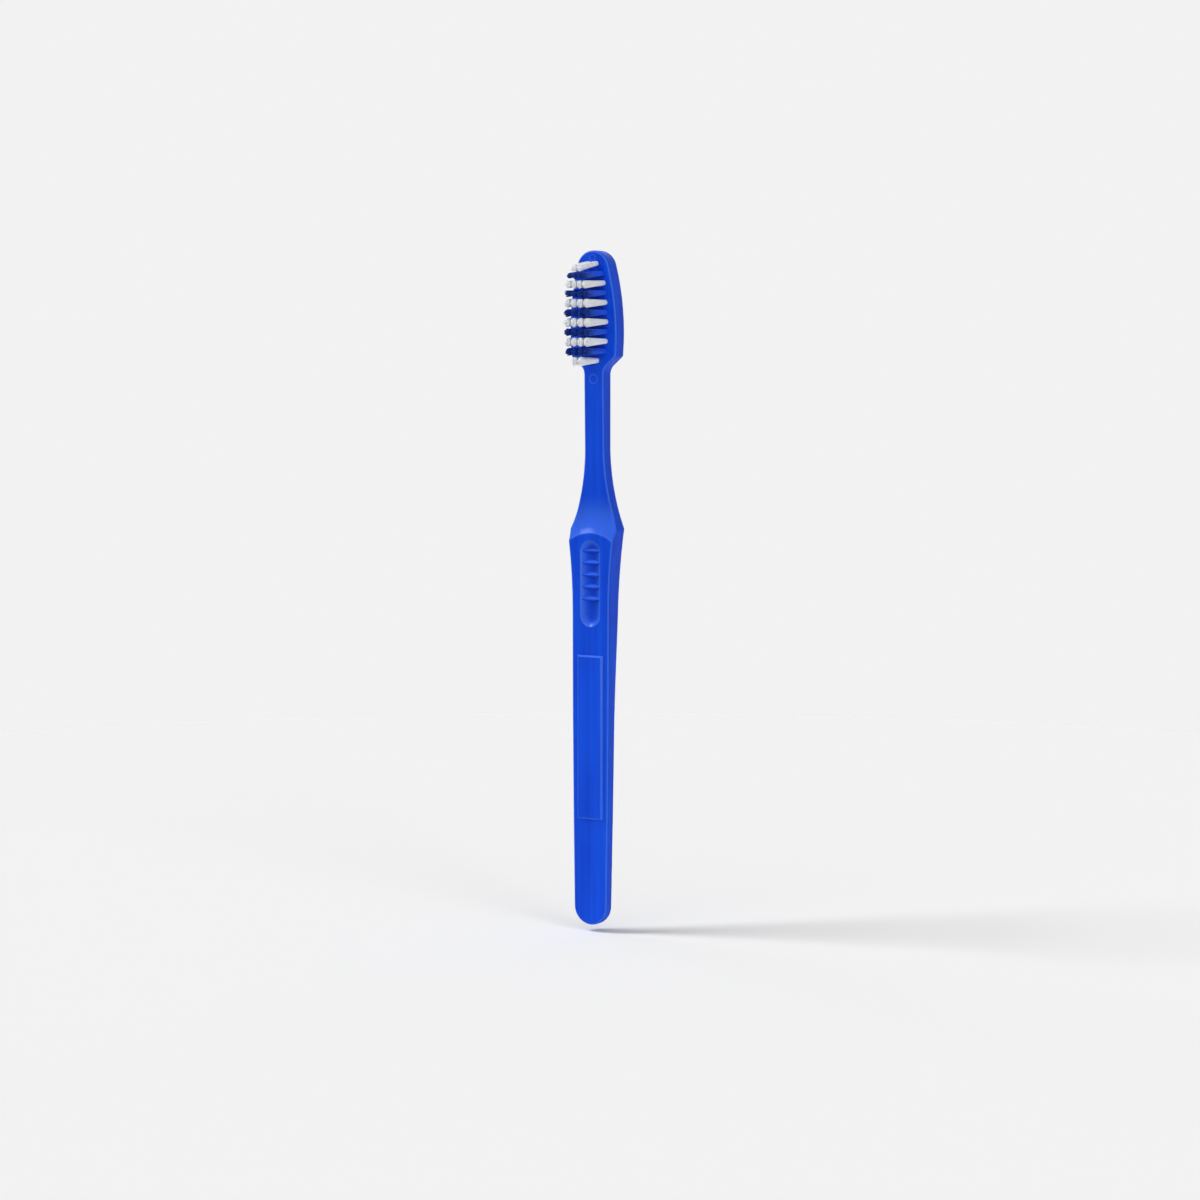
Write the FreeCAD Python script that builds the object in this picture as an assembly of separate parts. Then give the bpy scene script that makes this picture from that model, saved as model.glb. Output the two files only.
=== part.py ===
import FreeCAD
import Part
import math
import os

# Manual toothbrush, millimetres. +Z runs from the butt end up to the toe of the head,
# the bristles point to -Y, and X = 0 is the plane of symmetry.
# Depths are measured from the grip's flat front plane towards the back.

# Lengths along the brush: butt to crease, crease to heel corner
grip_length = 99.4
neck_length = 44.2

# Grip outline, seen from the front. The waist lies below the crease.
butt_radius = 4.75
waist_half_width = 5.36
waist_gap = 19.4
grip_flare_radius = 140.0

# Grip thickness: a flat back from the butt up, then a curve out to the shoulder
butt_thickness = 3.45
flat_back_thickness = 4.05
flat_back_length = 46.0
back_thickness = 6.35
shoulder_gap = 3.4
back_blend = 0.4

# Neck, and the flare that joins it to the grip
neck_half_width = 2.85
neck_set_back = 2.3
flare_length = 21.4
flare_radius = 57.0
flare_sweep = 26.0
shoulder_slant = 8.0

# Scoop that ramps from the neck's front up to the grip's front and ends in an arched crease
scoop_radius = 10.0
scoop_sweep = 80.0
scoop_turn = 120.0
crease_radius = 10.6
head_lean = 1.0

# Tuft holes: the two end rows have two holes, the others four, closer together towards the ends
row_count = 11
row_pitch = 2.41
hole_radius = 0.7
hole_depth = 3.0
hole_wall = 1.1
end_row_wall = 0.8
widest_row = 6
column_bow_radius = 70.0

# Head outline around the holes
toe_margin = 3.25
side_margin = 2.3
last_row_drop = 0.95
head_side_radius = 65.0
toe_radius = 4.65
heel_slope = 41.0
heel_corner_radius = 0.9
heel_neck_radius = 3.0

# Rounded edges
front_edge_radius = 0.65
back_edge_radius = 1.4
sharp_angle = 8.0

# Thumb recess below the crease, and its ribs
recess_gap = 1.7
recess_length = 21.9
recess_half_width = 2.9
recess_depth = 1.25
rib_count = 5
rib_first_gap = 2.7
rib_pitch = 3.05
rib_set_back = 0.4
rib_land = 0.25
rib_top_slope = 48.0
rib_under_slope = 72.0

# Raised pad below the recess
pad_gap = 7.6
pad_length = 40.7
pad_half_width = 3.2
pad_rise = 0.5
pad_bevel = 0.45

# Shallow round marks left by the mould's ejector pins
toe_mark_radius = 0.8
toe_mark_gap = 1.75
neck_mark_radius = 1.1
neck_mark_gap = 5.6
mark_depth = 0.12

# Tufts: the tips gather towards the middle, and the first rows lean towards the heel
tuft_height = 8.6
tuft_clearance = 0.02
tip_gather = 0.76
toe_lean = 1.0
toe_lean_decay = 0.5
white_tip_share = 0.5
blue_tip_share = 0.42
tip_gap = 0.04

# Flat anchors that hold the folded tufts down
anchor_thickness = 0.25
anchor_height = 1.3
anchor_bite = 0.2
fold_thickness = 0.4

vec = FreeCAD.Vector
front_y = -butt_thickness / 2
face_y = front_y + neck_set_back
waist_height = grip_length - waist_gap
shoulder_height = grip_length - shoulder_gap
flare_top = grip_length + flare_length
heel_height = grip_length + neck_length
neck_joint_height = (flare_top + heel_height) / 2
last_row_height = heel_height - last_row_drop
overall_length = last_row_height + (row_count - 1) * row_pitch + toe_margin
outer_column = 1.5 * (2 * hole_radius + hole_wall)
end_row_column = hole_radius + end_row_wall / 2
head_half_width = outer_column + hole_radius + side_margin
recess_top = grip_length - recess_gap
recess_bottom = recess_top - recess_length
pad_top = recess_bottom - pad_gap
pad_bottom = pad_top - pad_length
beyond = 4 * head_half_width


def line(a, b):
    return Part.makeLine(a, b)


def arc(a, middle, b):
    return Part.Arc(a, middle, b).toShape()


def mirrored(edges):
    return [edge.mirror(vec(0, 0, 0), vec(1, 0, 0)) for edge in edges]


def face_of(edges):
    return Part.Face(Part.Wire(Part.__sortEdges__(edges)))


# The solid behind a symmetric outline given by its right side, from bottom to top.
def plan_prism(right_side, bottom, top, depth, direction):
    edges = right_side + mirrored(right_side) + [bottom, top]
    face = face_of(edges)
    face.translate(vec(0, front_y + depth, 0))
    return face.extrude(direction)


def across(point):
    return line(point, vec(-point.x, 0, point.z))


def middle_of(edge):
    return edge.valueAt((edge.FirstParameter + edge.LastParameter) / 2)


# Edges where two faces meet at an angle, each with the normals of its faces.
def sharp_edges(shape):
    found = []
    for edge in shape.Edges:
        point = middle_of(edge)
        faces = shape.ancestorsOfType(edge, Part.Face)
        normals = [face.normalAt(*face.Surface.parameter(point)) for face in faces]
        if len(normals) == 2 and normals[0].getAngle(normals[1]) > math.radians(sharp_angle):
            found.append((edge, normals))
    return found


# The neck's front, the head's face and all that stands in it lean forward a little.
def leaning(shape):
    shape.rotate(vec(0, face_y, grip_length), vec(1, 0, 0), head_lean)
    return shape


# The butt's half circle runs into long, gently bowed sides, which turn outwards above the waist.
def grip_solid():
    height = waist_height - butt_radius
    bow = (waist_half_width ** 2 - butt_radius ** 2 + height ** 2) / (2 * (waist_half_width - butt_radius))
    lean = math.asin(height / (bow - butt_radius))
    sweep = (heel_height - waist_height) / grip_flare_radius

    def on_bow(angle):
        return vec(waist_half_width - bow * (1 - math.cos(angle)), 0, waist_height - bow * math.sin(angle))

    def on_flare(angle):
        return vec(waist_half_width + grip_flare_radius * (1 - math.cos(angle)), 0,
                   waist_height + grip_flare_radius * math.sin(angle))

    butt_end = on_bow(lean)
    top = on_flare(sweep)
    side = [arc(butt_end, on_bow(lean / 2), on_bow(0)), arc(on_flare(0), on_flare(sweep / 2), top)]
    butt_arc = arc(butt_end, vec(0, 0, 0), vec(-butt_end.x, 0, butt_end.z))
    plan = plan_prism(side, butt_arc, across(top), 0, vec(0, back_thickness, 0))

    def side_point(depth, z):
        return vec(-beyond, front_y + depth, z)

    butt = side_point(butt_thickness, 0)
    flat_end = side_point(flat_back_thickness, flat_back_length)
    shoulder = side_point(back_thickness, shoulder_height)
    back_top = side_point(back_thickness, top.z)
    blend = back_blend * (shoulder_height - flat_back_length)
    back_curve = Part.BezierCurve()
    back_curve.setPoles([flat_end, flat_end + (flat_end - butt).normalize() * blend,
                         shoulder - vec(0, 0, blend), shoulder])
    profile = [line(side_point(0, 0), butt), line(butt, flat_end), back_curve.toShape(),
               line(shoulder, back_top), line(back_top, side_point(0, top.z)),
               line(side_point(0, top.z), side_point(0, 0))]
    return plan.common(face_of(profile).extrude(vec(2 * beyond, 0, 0)))


# Neck and flare, slanted so that the shoulder's corner is higher at the back than at the front.
# Below the flare it is wider than the grip, so it only shapes the grip's upper end.
def neck_solid():
    def on_flare(degrees):
        angle = math.radians(degrees)
        return vec(neck_half_width + flare_radius * (1 - math.cos(angle)), 0,
                   flare_top - flare_radius * math.sin(angle))

    foot = vec(beyond, 0, -beyond)
    wing = vec(beyond, 0, on_flare(flare_sweep).z)
    top = vec(neck_half_width, 0, neck_joint_height)
    side = [line(foot, wing), line(wing, on_flare(flare_sweep)),
            arc(on_flare(flare_sweep), on_flare(flare_sweep / 2), on_flare(0)), line(on_flare(0), top)]
    rise = back_thickness * math.tan(math.radians(shoulder_slant))
    return plan_prism(side, across(foot), across(top), 0, vec(0, back_thickness, rise))


# What is in front of the neck and the scoop. Its profile turns about an axis along Y.
def scoop_cutter():
    axis = vec(0, front_y, grip_length - crease_radius)
    run = math.sqrt(scoop_radius ** 2 - (scoop_radius - neck_set_back) ** 2)

    def cut_point(radius, depth):
        return axis + vec(0, depth, radius)

    def on_scoop(degrees):
        angle = math.radians(degrees)
        return cut_point(crease_radius + run - scoop_radius * math.sin(angle),
                         neck_set_back - scoop_radius * (1 - math.cos(angle)))

    inner = on_scoop(scoop_sweep)
    outer = cut_point(overall_length, neck_set_back)
    outer_front = cut_point(overall_length, inner.y - front_y)
    profile = [arc(on_scoop(0), on_scoop(scoop_sweep / 2), inner), line(inner, outer_front),
               line(outer_front, outer), line(outer, on_scoop(0))]
    face = face_of(profile)
    face.rotate(axis, vec(0, 1, 0), -scoop_turn / 2)
    return leaning(face.revolve(axis, vec(0, 1, 0), scoop_turn))


def head_solid():
    toe_z = overall_length - toe_radius
    side_x = head_half_width - head_side_radius
    side_z = toe_z - math.sqrt((head_side_radius - toe_radius) ** 2 - side_x ** 2)
    lean = math.atan2(toe_z - side_z, -side_x)

    def on_side(z):
        return vec(side_x + math.sqrt(head_side_radius ** 2 - (z - side_z) ** 2), 0, z)

    toe_end = vec(toe_radius * math.cos(lean), 0, toe_z + toe_radius * math.sin(lean))
    heel = on_side(heel_height)
    drop = (heel.x - neck_half_width) * math.tan(math.radians(heel_slope))
    throat = vec(neck_half_width, 0, heel.z - drop)
    foot = vec(neck_half_width, 0, neck_joint_height)
    side = [line(foot, throat), line(throat, heel), arc(heel, on_side((heel.z + toe_end.z) / 2), toe_end)]
    toe_arc = arc(toe_end, vec(0, 0, overall_length), vec(-toe_end.x, 0, toe_end.z))
    head = plan_prism(side, across(foot), toe_arc, 0, vec(0, back_thickness, 0))
    for corner, radius in ((heel, heel_corner_radius), (throat, heel_neck_radius)):
        edges = [edge for edge in head.Edges
                 if abs(abs(middle_of(edge).x) - corner.x) + abs(middle_of(edge).z - corner.z) < 1e-6]
        head = head.makeFillet(radius, edges)
    return head


def rounded_body():
    body = grip_solid().common(neck_solid()).fuse(head_solid()).removeSplitter()
    body = body.cut(scoop_cutter()).Solids[0]
    facing_back = math.cos(math.radians(45))
    back = [edge for edge, normals in sharp_edges(body) if max(normal.y for normal in normals) > facing_back]
    body = body.makeFillet(back_edge_radius, back)
    return body.makeFillet(front_edge_radius, [edge for edge, normals in sharp_edges(body)])


# A trough with a round section and round ends. The ribs are left standing in it.
def thumb_recess():
    radius = (recess_half_width ** 2 + recess_depth ** 2) / (2 * recess_depth)
    axis_y = front_y + recess_depth - radius
    low = recess_bottom + recess_half_width
    high = recess_top - recess_half_width
    trough = Part.makeCylinder(radius, high - low, vec(0, axis_y, low), vec(0, 0, 1))
    for z in (low, high):
        trough = trough.fuse(Part.makeSphere(radius, vec(0, axis_y, z)))
    return trough.removeSplitter().cut(Part.makeCompound(ribs()))


def ribs():
    deep = 2 * recess_depth
    land_y = front_y + rib_set_back
    top_run = (deep - rib_set_back) / math.tan(math.radians(rib_top_slope))
    under_run = (deep - rib_set_back) / math.tan(math.radians(rib_under_slope))
    made = []
    for index in range(rib_count):
        z = recess_top - rib_first_gap - index * rib_pitch
        corners = [vec(-beyond, land_y, z), vec(-beyond, front_y + deep, z + top_run),
                   vec(-beyond, front_y + deep, z - rib_land - under_run),
                   vec(-beyond, land_y, z - rib_land)]
        face = Part.Face(Part.makePolygon(corners + corners[:1]))
        made.append(face.extrude(vec(2 * beyond, 0, 0)))
    return made


def raised_pad():
    def rectangle(depth, margin):
        x = pad_half_width + margin
        y = front_y + depth
        low = pad_bottom - margin
        high = pad_top + margin
        corners = [vec(-x, y, low), vec(x, y, low), vec(x, y, high), vec(-x, y, high)]
        return Part.makePolygon(corners + corners[:1])

    return Part.makeLoft([rectangle(pad_rise, 2 * pad_bevel), rectangle(-pad_rise, 0)], True, True)


def ejector_marks():
    spots = ((toe_mark_radius, overall_length - toe_mark_gap),
             (neck_mark_radius, heel_height - neck_mark_gap))
    base_y = face_y - mark_depth
    return [leaning(Part.makeCylinder(radius, 2 * mark_depth, vec(0, base_y, z), vec(0, 1, 0)))
            for radius, z in spots]


def row_height(row):
    return last_row_height + (row_count - 1 - row) * row_pitch


def columns(row):
    if row in (0, row_count - 1):
        return {"inner_left": -end_row_column, "inner_right": end_row_column}
    offset = (row - widest_row) * row_pitch
    outer = outer_column - offset ** 2 / (2 * column_bow_radius)
    return {"outer_left": -outer, "inner_left": -outer / 3, "inner_right": outer / 3, "outer_right": outer}


def hole(x, z):
    return leaning(Part.makeCylinder(hole_radius, hole_depth, vec(x, face_y, z), vec(0, 1, 0)))


# An anchor stands across the hole, above the fold, and its two ends bite into the wall.
def anchor(x, z):
    length = 2 * (hole_radius + anchor_bite)
    deep_end = face_y + hole_depth - fold_thickness
    return leaning(Part.makeBox(anchor_thickness, anchor_height, length,
                                vec(x - anchor_thickness / 2, deep_end - anchor_height, z - length / 2)))


def oval(x, y, z, half_x, half_z):
    shape = FreeCAD.Matrix()
    shape.scale(half_x, 1, half_z)
    shape.move(vec(x, y, z))
    circle = Part.makeCircle(1, vec(0, 0, 0), vec(0, 1, 0))
    return Part.Wire(circle.transformGeometry(shape))


def tuft(row, x):
    z = row_height(row)
    root = hole_radius - tuft_clearance
    inner = min(abs(offset) for offset in columns(row).values())
    tip_x = inner * tip_gather - tip_gap / 2
    nearest = row_pitch - toe_lean * toe_lean_decay ** max(row, 1)
    share = white_tip_share if row % 2 == 0 else blue_tip_share
    tip_z = share * nearest - tip_gap / 2
    lean = toe_lean * toe_lean_decay ** row
    sections = [oval(x, face_y + hole_depth, z, root, root),
                oval(x, face_y, z, root, root),
                oval(x * tip_gather, face_y - tuft_height, z - lean, tip_x, tip_z)]
    return leaning(Part.makeLoft(sections, True, True)).cut(anchor(x, z))


os.makedirs("parts", exist_ok=True)

handle = rounded_body().fuse(raised_pad()).cut(thumb_recess()).cut(Part.makeCompound(ejector_marks()))
anchors = []
for row in range(row_count):
    colour = "white" if row % 2 == 0 else "blue"
    for column, x in columns(row).items():
        held = anchor(x, row_height(row))
        handle = handle.cut(hole(x, row_height(row)).fuse(held))
        anchors.append(held)
        tuft(row, x).exportStep("parts/{}_tuft_row{:02d}_{}.step".format(colour, row + 1, column))
handle.exportStep("parts/handle.step")
Part.makeCompound(anchors).exportStep("parts/tuft_anchors.step")
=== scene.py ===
import math
import bpy
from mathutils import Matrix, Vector


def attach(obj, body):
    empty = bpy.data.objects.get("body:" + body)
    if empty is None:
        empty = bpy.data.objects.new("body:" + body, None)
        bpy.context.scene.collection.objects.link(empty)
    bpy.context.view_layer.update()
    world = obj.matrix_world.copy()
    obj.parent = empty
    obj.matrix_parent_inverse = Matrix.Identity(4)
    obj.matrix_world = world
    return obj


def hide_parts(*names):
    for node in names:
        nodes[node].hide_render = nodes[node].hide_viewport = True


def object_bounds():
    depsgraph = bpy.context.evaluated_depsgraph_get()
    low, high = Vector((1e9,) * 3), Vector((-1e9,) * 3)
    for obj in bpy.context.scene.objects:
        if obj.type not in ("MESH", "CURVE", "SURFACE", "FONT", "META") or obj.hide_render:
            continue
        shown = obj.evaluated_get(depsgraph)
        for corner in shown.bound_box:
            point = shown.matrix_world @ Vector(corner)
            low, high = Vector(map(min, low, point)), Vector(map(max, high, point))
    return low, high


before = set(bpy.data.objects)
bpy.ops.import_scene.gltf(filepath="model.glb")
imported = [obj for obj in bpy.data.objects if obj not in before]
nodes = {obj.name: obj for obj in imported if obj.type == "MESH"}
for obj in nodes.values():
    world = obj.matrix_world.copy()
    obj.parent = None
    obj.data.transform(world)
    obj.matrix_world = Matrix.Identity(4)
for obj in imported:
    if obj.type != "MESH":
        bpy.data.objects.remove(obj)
cad_low, cad_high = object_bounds()
scene = bpy.context.scene

# Sizes in metres
mm = 0.001
hole_depth = 3.0 * mm
held_length = 1.2 * mm
head_lean = math.radians(1.0)
filament_radius = 0.102 * mm
filament_count = 74
tip_dome = 0.5 * mm
tip_trim = {"white": 0.2 * mm, "blue": 0.5 * mm}
tip_scatter = {"white": 0.05 * mm, "blue": 0.12 * mm}
flare_power = 1.15
toe_mark_height = 168.2 * mm
toe_mark_radius = 0.8 * mm
neck_mark_height = 138.0 * mm
neck_mark_radius = 1.1 * mm
# Width of the painted highlight on each mark's rim
mark_rim = 0.3 * mm
grip_front = -1.725 * mm
recess_heights = (75.8 * mm, 97.7 * mm)
scoop_heights = (103 * mm, 109.5 * mm)
floor_gap = 1.8 * mm
floor_radius = 450 * mm
floor_sides = 96

# Linear colours and levels
deep_blue = (0.002, 0.046, 0.53, 1)
light_blue = (0.005, 0.082, 0.73, 1)
# Painted highlight colour and strength for the front edges and the mark rims
highlight_blue = (0.06, 0.19, 0.76, 1)
edge_highlight = 0.58
# Strength of the even painted sheen in the scoop
scoop_sheen = 0.38
# Painted shade in the thumb recess, which also dims the painted edge highlight there
recess_highlight_dimming = 0.35
recess_shade = 0.35
recess_shade_blue = (0.006, 0.05, 0.5, 1)
backdrop_level = 0.888
floor_colour = 0.885
white_root, white_tip = (0.93, 0.96, 1.0, 1), (0.94, 0.97, 1.0, 1)
blue_root, blue_tip = (0.017, 0.105, 0.85, 1), (0.002, 0.032, 0.29, 1)
dull_brass, bright_brass = (0.62, 0.46, 0.2, 1), (0.75, 0.6, 0.3, 1)

# Finish of the plastic: noise stretched along the handle, roughness, and how squarely an edge with a painted
# highlight faces front
flow_stretch = (600, 600, 18)
cloud_stretch = (160, 160, 40)
plastic_roughness = (0.36, 0.48)
scoop_roughness = 0.2
edge_rise = (0.42, 0.62)
edge_fade = (0.84, 0.99)
tip_darkening = 2.5

# Lights: directions as azimuth and elevation in degrees, half widths in degrees
key_energy = 2.08
key_direction = (-61.5, 50)
key_width = 21
soft_box_direction = (20, 40)
soft_box_half_width = 36
soft_box_level = 0.8
dome_low = 0.06
dome_high = 0.15
strip_lights = ((60, 11, 3.4), (-108, 12, 2.0), (205, 35, 0.5))
strip_ends = (0.75, 0.5)

# Filament rings: one in the hole, one at the head's face, two along the shaft, then the rounded end
shaft_rings = 3
dome_rings = 2
dome_step = math.radians(40)
filament_sides = 6

# Camera, from the photograph's outline: pixels of a 1200 by 1200 image
image_size = 1200
focal_pixels = 3380
centre_pixel = (593.5, 590.1)
camera_target = Vector((0, 0, 85 * mm))
camera_distance = 850 * mm
camera_azimuth = 30
camera_elevation = 5


class Tree:
    """Adds nodes to a node tree: each input is a socket to link, a value, or None to leave as it is."""

    def __init__(self, tree):
        self.tree = tree

    def add(self, kind, inputs=(), output=0, **settings):
        made = self.tree.nodes.new(kind)
        for name, value in settings.items():
            setattr(made, name, value)
        pairs = inputs.items() if isinstance(inputs, dict) else enumerate(inputs)
        for key, given in pairs:
            self.feed(made.inputs[key], given)
        return made.outputs[output]

    def feed(self, socket, given):
        if isinstance(given, bpy.types.NodeSocket):
            self.tree.links.new(given, socket)
        elif given is not None:
            socket.default_value = given

    def math(self, operation, a, b=None):
        return self.add("ShaderNodeMath", (a, b), operation=operation)

    def vector(self, operation, a, b=None):
        return self.add("ShaderNodeVectorMath", (a, b), operation=operation)

    def scaled(self, vector, factor):
        return self.add("ShaderNodeVectorMath", {0: vector, "Scale": factor}, operation="SCALE")


def tuft_tree():
    """Grows one tuft: filaments packed round in the hole, spread to an oval at the tips."""
    group = bpy.data.node_groups.new("tuft_filaments", "GeometryNodeTree")
    sockets = (("Filaments", "NodeSocketInt"), ("Filament Radius", "NodeSocketFloat"),
               ("Face Centre", "NodeSocketVector"), ("Outward", "NodeSocketVector"),
               ("Tip Shift", "NodeSocketVector"), ("Tuft Height", "NodeSocketFloat"),
               ("Held Length", "NodeSocketFloat"), ("Root Radius", "NodeSocketFloat"),
               ("Tip Half Width", "NodeSocketFloat"), ("Tip Half Height", "NodeSocketFloat"),
               ("Dome", "NodeSocketFloat"), ("Trim", "NodeSocketFloat"), ("Scatter", "NodeSocketFloat"),
               ("Flare", "NodeSocketFloat"), ("Seed", "NodeSocketInt"), ("Material", "NodeSocketMaterial"))
    for name, kind in sockets:
        group.interface.new_socket(name, in_out="INPUT", socket_type=kind)
    group.interface.new_socket("Geometry", in_out="OUTPUT", socket_type="NodeSocketGeometry")
    t = Tree(group)
    given = group.nodes.new("NodeGroupInput").outputs

    # One point for each filament, on a sunflower spiral in the unit disc
    index = t.add("GeometryNodeInputIndex")
    share = t.math("DIVIDE", t.math("ADD", index, 0.5), given["Filaments"])
    distance = t.math("SQRT", share)
    angle = t.math("MULTIPLY", index, math.pi * (3 - math.sqrt(5)))
    place = t.add("ShaderNodeCombineXYZ", (t.math("MULTIPLY", distance, t.math("COSINE", angle)),
                                           t.math("MULTIPLY", distance, t.math("SINE", angle)), 0.0))
    points = t.add("GeometryNodePoints", (given["Filaments"], place))
    scatter = t.add("FunctionNodeRandomValue", {0: (-1, -1, 0), 1: (1, 1, 0), "Seed": given["Seed"]},
                    data_type="FLOAT_VECTOR")
    strand = t.add("FunctionNodeRandomValue", {2: 0.0, 3: 1.0, "Seed": t.math("ADD", given["Seed"], 1)},
                   output=1, data_type="FLOAT")
    for name, kind, value in (("place", "FLOAT_VECTOR", place), ("scatter", "FLOAT_VECTOR", scatter),
                              ("strand", "FLOAT", strand)):
        points = t.add("GeometryNodeStoreNamedAttribute", (points, None, name, value),
                       data_type=kind, domain="POINT")
    line = t.add("GeometryNodeResampleCurve",
                 {"Curve": t.add("GeometryNodeCurvePrimitiveLine"), "Count": 2 + shaft_rings + dome_rings})
    strands = t.add("GeometryNodeRealizeInstances", (t.add("GeometryNodeInstanceOnPoints",
                                                           {"Points": points, "Instance": line}),))

    def read(name, kind):
        return t.add("GeometryNodeInputNamedAttribute", (name,), data_type=kind)

    # How far each ring lies along its filament
    ring = t.add("GeometryNodeSplineParameter", output=2)
    along = t.add("ShaderNodeClamp", (t.math("DIVIDE", t.math("SUBTRACT", ring, 1), shaft_rings), 0.0, 1.0))
    in_hole = t.math("SUBTRACT", 1.0, t.math("MINIMUM", ring, 1.0))
    past_shaft = t.math("MAXIMUM", t.math("SUBTRACT", ring, 1 + shaft_rings), 0.0)
    dome_angle = t.math("MULTIPLY", past_shaft, dome_step)
    place = read("place", "FLOAT_VECTOR")
    outer = t.add("ShaderNodeVectorMath", (place, place), operation="DOT_PRODUCT", output=1)
    short = t.math("ADD", t.math("MULTIPLY", outer, given["Dome"]),
                   t.math("MULTIPLY", read("strand", "FLOAT"), given["Trim"]))
    short = t.math("ADD", short, given["Filament Radius"])
    height = t.math("MULTIPLY", along, t.math("SUBTRACT", given["Tuft Height"], short))
    height = t.math("SUBTRACT", height, t.math("MULTIPLY", in_hole, given["Held Length"]))
    height = t.math("ADD", height, t.math("MULTIPLY", t.math("SINE", dome_angle), given["Filament Radius"]))

    # Where it lies across the tuft
    spread = t.math("POWER", along, given["Flare"])
    packed = t.math("SUBTRACT", given["Root Radius"], given["Filament Radius"])

    def across(tip_half, part):
        free = t.math("SUBTRACT", tip_half, given["Filament Radius"])
        half = t.add("ShaderNodeMix", {0: spread, 2: packed, 3: free}, data_type="FLOAT")
        middle = t.math("MULTIPLY", half, t.add("ShaderNodeSeparateXYZ", (place,), output=part))
        stray = t.math("MULTIPLY", given["Scatter"],
                       t.add("ShaderNodeSeparateXYZ", (read("scatter", "FLOAT_VECTOR"),), output=part))
        return t.math("ADD", middle, t.math("MULTIPLY", stray, spread))

    sideways = Vector((1, 0, 0))
    upward = t.vector("CROSS_PRODUCT", given["Outward"], sideways)
    position = t.vector("ADD", given["Face Centre"], t.scaled(given["Outward"], height))
    position = t.vector("ADD", position, t.scaled(given["Tip Shift"], spread))
    position = t.vector("ADD", position, t.scaled(sideways, across(given["Tip Half Width"], 0)))
    position = t.vector("ADD", position, t.scaled(upward, across(given["Tip Half Height"], 1)))
    strands = t.add("GeometryNodeSetPosition", {"Geometry": strands, "Position": position})
    strands = t.add("GeometryNodeStoreNamedAttribute", (strands, None, "along", along),
                    data_type="FLOAT", domain="POINT")
    thickness = t.math("MULTIPLY", given["Filament Radius"], t.math("COSINE", dome_angle))
    circle = t.add("GeometryNodeCurvePrimitiveCircle", {"Resolution": filament_sides, "Radius": 1.0})
    tubes = t.add("GeometryNodeCurveToMesh", {"Curve": strands, "Profile Curve": circle,
                                              "Scale": thickness, "Fill Caps": True})
    tubes = t.add("GeometryNodeSetShadeSmooth", {"Geometry": tubes})
    tubes = t.add("GeometryNodeRealizeInstances", (tubes,))
    tubes = t.add("GeometryNodeSetMaterial", {"Geometry": tubes, "Material": given["Material"]})
    t.feed(group.nodes.new("NodeGroupOutput").inputs[0], tubes)
    return group


def ring_of(points):
    """Centre and half sizes of a flat ring of points."""
    low = Vector([min(p[i] for p in points) for i in range(3)])
    high = Vector([max(p[i] for p in points) for i in range(3)])
    return (low + high) / 2, (high - low) / 2


def tuft_sizes(node):
    """The tuft's place and spread, read from its solid's two end faces."""
    corners = [v.co.copy() for v in nodes[node].data.vertices]
    tip_y = min(p.y for p in corners)
    bottom_y = max(p.y for p in corners)
    end_band = 0.06 * mm
    tip, tip_half = ring_of([p for p in corners if p.y < tip_y + end_band])
    bottom, bottom_half = ring_of([p for p in corners if p.y > bottom_y - end_band])
    outward = Vector((0, -math.cos(head_lean), -math.sin(head_lean)))
    face = bottom + outward * hole_depth
    tall = (tip - face).dot(outward)
    return {"Face Centre": face, "Outward": outward, "Tip Shift": tip - face - outward * tall,
            "Tuft Height": tall, "Root Radius": bottom_half.x,
            "Tip Half Width": tip_half.x, "Tip Half Height": tip_half.z}


def grow_tuft(group, node, colour, material, seed):
    sizes = tuft_sizes(node)
    sizes.update({"Filaments": filament_count, "Filament Radius": filament_radius,
                  "Held Length": held_length, "Dome": tip_dome, "Trim": tip_trim[colour],
                  "Scatter": tip_scatter[colour], "Flare": flare_power,
                  "Seed": seed, "Material": material})
    piece = bpy.data.objects.new(node + "_filaments", bpy.data.meshes.new(node + "_filaments"))
    scene.collection.objects.link(piece)
    modifier = piece.modifiers.new("filaments", "NODES")
    modifier.node_group = group
    for item in group.interface.items_tree:
        if item.name in sizes:
            modifier[item.identifier] = sizes[item.name]
    evaluated = piece.evaluated_get(bpy.context.evaluated_depsgraph_get())
    grown = bpy.data.meshes.new_from_object(evaluated)
    piece.modifiers.remove(modifier)
    piece.data = grown
    grown.name = piece.name
    return piece


def new_material(name):
    material = bpy.data.materials.new(name)
    material.use_nodes = True
    shader = material.node_tree.nodes["Principled BSDF"]
    return material, Tree(material.node_tree), shader


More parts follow.
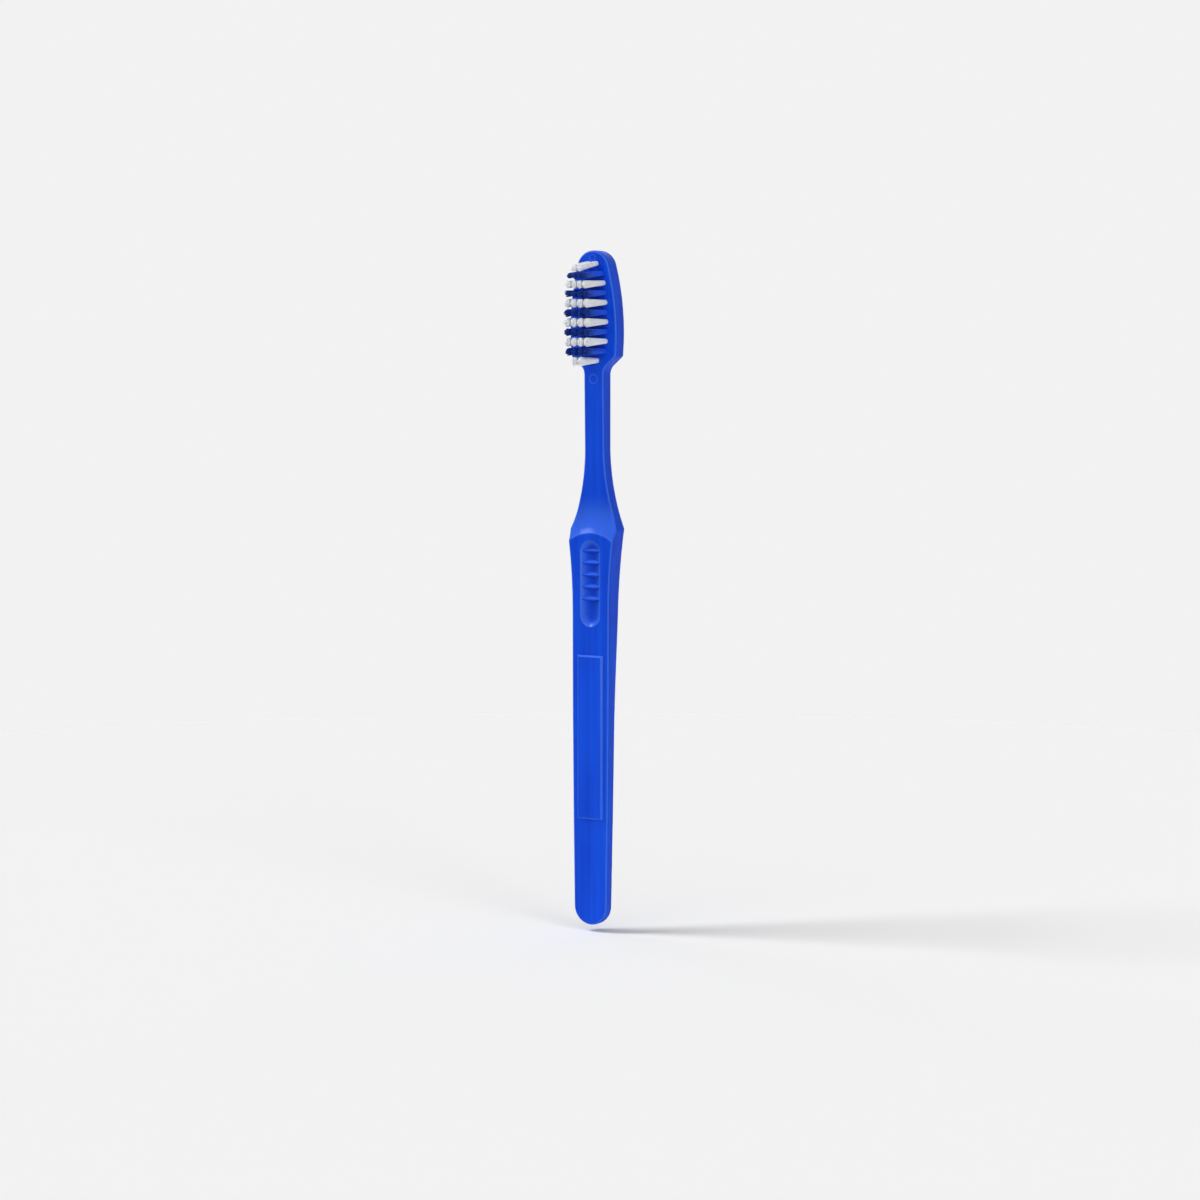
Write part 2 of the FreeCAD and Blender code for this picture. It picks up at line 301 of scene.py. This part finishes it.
def tinted_plastic():
    """Clear-tinted blue: long soft flow streaks, painted highlights on the edges and in the scoop, painted
    shade in the thumb recess, a thin glossy skin.
    """
    material, t, shader = new_material("tinted_blue_plastic")
    here = t.add("ShaderNodeTexCoord", output=3)

    def streaks(scale, detail):
        stretched = t.add("ShaderNodeMapping", {"Vector": here, "Scale": scale})
        return t.add("ShaderNodeTexNoise", {"Vector": stretched, "Scale": 1.0, "Detail": detail})

    flow = t.add("ShaderNodeMapRange", (streaks(flow_stretch, 3.0), 0.35, 0.65, 0.0, 1.0))
    cloud = t.add("ShaderNodeMapRange", (streaks(cloud_stretch, 2.0), 0.3, 0.7, 0.0, 1.0))
    depth = t.add("ShaderNodeMix", {0: 0.5, 2: flow, 3: cloud}, data_type="FLOAT")
    colour = t.add("ShaderNodeMix", {0: depth, 6: deep_blue, 7: light_blue}, output=2, data_type="RGBA")

    # Where a point lies: in the thumb recess, and facing the front
    normal = t.add("ShaderNodeTexCoord", output=1)
    facing = t.math("MULTIPLY", t.add("ShaderNodeSeparateXYZ", (normal,), output=1), -1.0)
    place_y = t.add("ShaderNodeSeparateXYZ", (here,), output=1)
    place_z = t.add("ShaderNodeSeparateXYZ", (here,), output=2)
    low, high = recess_heights
    inside = t.math("MULTIPLY", t.math("GREATER_THAN", place_z, low), t.math("LESS_THAN", place_z, high))
    inside = t.math("MULTIPLY", inside, t.math("GREATER_THAN", facing, 0.0))
    sunk = t.add("ShaderNodeMapRange", (place_y, grip_front + 0.1 * mm, grip_front + 1.2 * mm, 0.0, 1.0))
    sunk = t.math("MULTIPLY", sunk, inside)

    # The scoop above the crease, up to where it runs out in the neck, which gets an even painted sheen and
    # more roughness
    scoop = t.add("ShaderNodeMapRange", (place_z, *scoop_heights, 1.0, 0.0), interpolation_type="SMOOTHSTEP")
    scoop = t.math("MULTIPLY", scoop, t.math("GREATER_THAN", place_z, high))
    behind = t.add("ShaderNodeMapRange", (place_y, grip_front + 0.05 * mm, grip_front + 0.5 * mm, 0.0, 1.0))
    scoop = t.math("MULTIPLY", t.math("MULTIPLY", scoop, behind), t.math("GREATER_THAN", facing, 0.5))

    # Painted highlight on the front's slanting edges, dimmed in the thumb recess, and an even painted sheen
    # in the scoop
    rising = t.add("ShaderNodeMapRange", (facing, *edge_rise, 0.0, 1.0), interpolation_type="SMOOTHSTEP")
    fading = t.add("ShaderNodeMapRange", (facing, *edge_fade, 1.0, 0.0), interpolation_type="SMOOTHSTEP")
    highlight = t.math("MULTIPLY", t.math("MULTIPLY", rising, fading), edge_highlight)
    highlight = t.math("MULTIPLY", highlight, t.math("SUBTRACT", 1.0, t.math("MULTIPLY", sunk, recess_highlight_dimming)))
    highlight = t.add("ShaderNodeMix", {0: scoop, 2: highlight, 3: scoop_sheen}, data_type="FLOAT")
    colour = t.add("ShaderNodeMix", {0: highlight, 6: colour, 7: highlight_blue}, output=2, data_type="RGBA")

    # Painted shade: a darker blue deeper down in the thumb recess
    colour = t.add("ShaderNodeMix", {0: t.math("MULTIPLY", sunk, recess_shade), 6: colour, 7: recess_shade_blue},
                   output=2, data_type="RGBA")

    # Painted highlight on the rims of the two round marks in the head's face, drawn by their distance from
    # each centre
    for height, radius in ((toe_mark_height, toe_mark_radius), (neck_mark_height, neck_mark_radius)):
        across = t.vector("MULTIPLY", t.vector("SUBTRACT", here, (0, 0, height)), (1, 0, 1))
        reach = t.add("ShaderNodeVectorMath", (across,), operation="LENGTH", output=1)
        off_rim = t.math("ABSOLUTE", t.math("SUBTRACT", reach, radius))
        rim_highlight = t.add("ShaderNodeMapRange", (off_rim, mark_rim, 0.0, 0.0, edge_highlight),
                    interpolation_type="SMOOTHSTEP")
        rim_highlight = t.math("MULTIPLY", rim_highlight, t.math("GREATER_THAN", facing, 0.0))
        colour = t.add("ShaderNodeMix", {0: rim_highlight, 6: colour, 7: highlight_blue}, output=2, data_type="RGBA")
    t.feed(shader.inputs["Base Color"], colour)
    dull = t.add("ShaderNodeMapRange", (flow, 0.0, 1.0, *plastic_roughness))
    t.feed(shader.inputs["Roughness"], t.math("ADD", dull, t.math("MULTIPLY", scoop, scoop_roughness)))
    ripple = t.add("ShaderNodeBump", {"Strength": 0.15, "Distance": 0.2 * mm, "Height": cloud})
    t.feed(shader.inputs["Normal"], ripple)
    shader.inputs["Specular IOR Level"].default_value = 0.04
    shader.inputs["Coat Weight"].default_value = 0.1
    shader.inputs["Coat Roughness"].default_value = 0.12
    shader.inputs["Subsurface Weight"].default_value = 0.2
    shader.inputs["Subsurface Radius"].default_value = (0.2, 0.45, 1.0)
    shader.inputs["Subsurface Scale"].default_value = 0.5 * mm
    return material


def nylon(name, root_colour, tip_colour):
    material, t, shader = new_material(name)
    along = t.add("ShaderNodeAttribute", output=2, attribute_name="along")
    strand = t.add("ShaderNodeAttribute", output=2, attribute_name="strand")
    towards_tip = t.math("POWER", along, tip_darkening)
    colour = t.add("ShaderNodeMix", {0: towards_tip, 6: root_colour, 7: tip_colour},
                   output=2, data_type="RGBA")
    shade = t.add("ShaderNodeMapRange", (strand, 0.0, 1.0, 0.93, 1.0))
    colour = t.add("ShaderNodeVectorMath", {0: colour, "Scale": shade}, operation="SCALE")
    t.feed(shader.inputs["Base Color"], colour)
    t.feed(shader.inputs["Roughness"], t.add("ShaderNodeMapRange", (strand, 0.0, 1.0, 0.4, 0.55)))
    shader.inputs["Specular IOR Level"].default_value = 0.25
    shader.inputs["Subsurface Weight"].default_value = 0.4
    shader.inputs["Subsurface Radius"].default_value = (1.0, 1.0, 1.0)
    shader.inputs["Subsurface Scale"].default_value = 0.3 * mm
    return material


def brass():
    material, t, shader = new_material("brass_wire")
    here = t.add("ShaderNodeTexCoord", output=3)
    stretched = t.add("ShaderNodeMapping", {"Vector": here, "Scale": (9000, 9000, 900)})
    drawn = t.add("ShaderNodeTexNoise", {"Vector": stretched, "Scale": 1.0})
    colour = t.add("ShaderNodeMix", {0: drawn, 6: dull_brass, 7: bright_brass},
                   output=2, data_type="RGBA")
    t.feed(shader.inputs["Base Color"], colour)
    t.feed(shader.inputs["Roughness"], t.add("ShaderNodeMapRange", (drawn, 0.0, 1.0, 0.25, 0.45)))
    shader.inputs["Metallic"].default_value = 1.0
    return material


def dress_brush():
    nodes["handle"].data.materials.clear()
    nodes["handle"].data.materials.append(tinted_plastic())
    nodes["tuft_anchors"].data.materials.clear()
    nodes["tuft_anchors"].data.materials.append(brass())
    finishes = {"white": nylon("white_nylon", white_root, white_tip),
                "blue": nylon("blue_nylon", blue_root, blue_tip)}
    group = tuft_tree()
    tufts = sorted(name for name in nodes if "_tuft_row" in name)
    for seed, node in enumerate(tufts):
        colour = node.split("_")[0]
        piece = grow_tuft(group, node, colour, finishes[colour], 2 * seed)
        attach(piece, "root")
        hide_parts(node)


def towards(azimuth, elevation):
    """The direction at an azimuth to the right of the brush's front and an elevation, in degrees."""
    turn = math.radians(azimuth)
    rise = math.radians(elevation)
    return Vector((math.sin(turn) * math.cos(rise), -math.cos(turn) * math.cos(rise), math.sin(rise)))


def studio():
    """A pale round floor, a soft key light from the left, and a dim dome with side strips and a backdrop."""
    bpy.ops.mesh.primitive_circle_add(vertices=floor_sides, radius=floor_radius, fill_type="NGON",
                                      location=(0, 0, cad_low.z - floor_gap))
    floor = bpy.context.object
    floor.name = "studio_floor"
    material, t, shader = new_material("pale_floor")
    shader.inputs["Base Color"].default_value = (floor_colour, floor_colour, floor_colour, 1)
    shader.inputs["Roughness"].default_value = 1.0
    shader.inputs["Specular IOR Level"].default_value = 0.0
    floor.data.materials.append(material)

    lamp = bpy.data.lights.new("key_light", "SUN")
    lamp.energy = key_energy
    lamp.angle = math.radians(key_width)
    key = bpy.data.objects.new("key_light", lamp)
    scene.collection.objects.link(key)
    key.rotation_mode = "QUATERNION"
    key.rotation_quaternion = (-towards(*key_direction)).to_track_quat("-Z", "Y")

    world = bpy.data.worlds.new("studio")
    scene.world = world
    world.use_nodes = True
    t = Tree(world.node_tree)
    world.node_tree.nodes.clear()
    direction = t.add("ShaderNodeTexCoord", output=0)
    height = t.add("ShaderNodeSeparateXYZ", (direction,), output=2)
    flat = t.vector("NORMALIZE", t.vector("MULTIPLY", direction, (1, 1, 0)))
    level = t.add("ShaderNodeMapRange", (height, 0.0, 0.9, dome_low, dome_high))

    def patch(seen, centre, half_width, strength):
        near = t.add("ShaderNodeVectorMath", (seen, centre), operation="DOT_PRODUCT", output=1)
        edge = math.cos(math.radians(half_width * 1.35))
        core = math.cos(math.radians(half_width * 0.65))
        return t.add("ShaderNodeMapRange", (near, edge, core, 0.0, strength),
                     interpolation_type="SMOOTHSTEP")

    # A wide soft box above the front, then upright strips
    soft_box = patch(direction, towards(*soft_box_direction), soft_box_half_width, soft_box_level)
    level = t.math("ADD", level, soft_box)
    upright = t.add("ShaderNodeMapRange", (t.math("ABSOLUTE", height), *strip_ends, 0.0, 1.0),
                    interpolation_type="SMOOTHSTEP")
    for azimuth, half_width, strength in strip_lights:
        strip = patch(flat, towards(azimuth, 0), half_width, strength)
        level = t.math("ADD", level, t.math("MULTIPLY", strip, upright))

    # The camera sees the plain backdrop. Reflections and clear pieces see it too, behind the lights.
    ray = t.tree.nodes.new("ShaderNodeLightPath").outputs
    mirrored = t.math("MAXIMUM", ray["Is Glossy Ray"], ray["Is Transmission Ray"])
    level = t.add("ShaderNodeMix", {0: mirrored, 2: level, 3: t.math("ADD", level, backdrop_level)},
                  data_type="FLOAT")
    level = t.add("ShaderNodeMix", {0: ray["Is Camera Ray"], 2: level, 3: backdrop_level},
                  data_type="FLOAT")
    background = t.add("ShaderNodeBackground", ((1, 1, 1, 1), level))
    t.feed(t.tree.nodes.new("ShaderNodeOutputWorld").inputs["Surface"], background)


def photograph_camera():
    lens = bpy.data.cameras.new("photograph_camera")
    lens.sensor_fit = "HORIZONTAL"
    lens.lens = lens.sensor_width * focal_pixels / image_size
    lens.shift_x = (image_size / 2 - centre_pixel[0]) / image_size
    lens.shift_y = (centre_pixel[1] - image_size / 2) / image_size
    camera = bpy.data.objects.new("photograph_camera", lens)
    scene.collection.objects.link(camera)
    back = towards(camera_azimuth, camera_elevation)
    camera.location = camera_target + back * camera_distance
    camera.rotation_mode = "QUATERNION"
    camera.rotation_quaternion = (-back).to_track_quat("-Z", "Y")
    scene.camera = camera


scene.view_settings.view_transform = "Standard"
dress_brush()
studio()
photograph_camera()
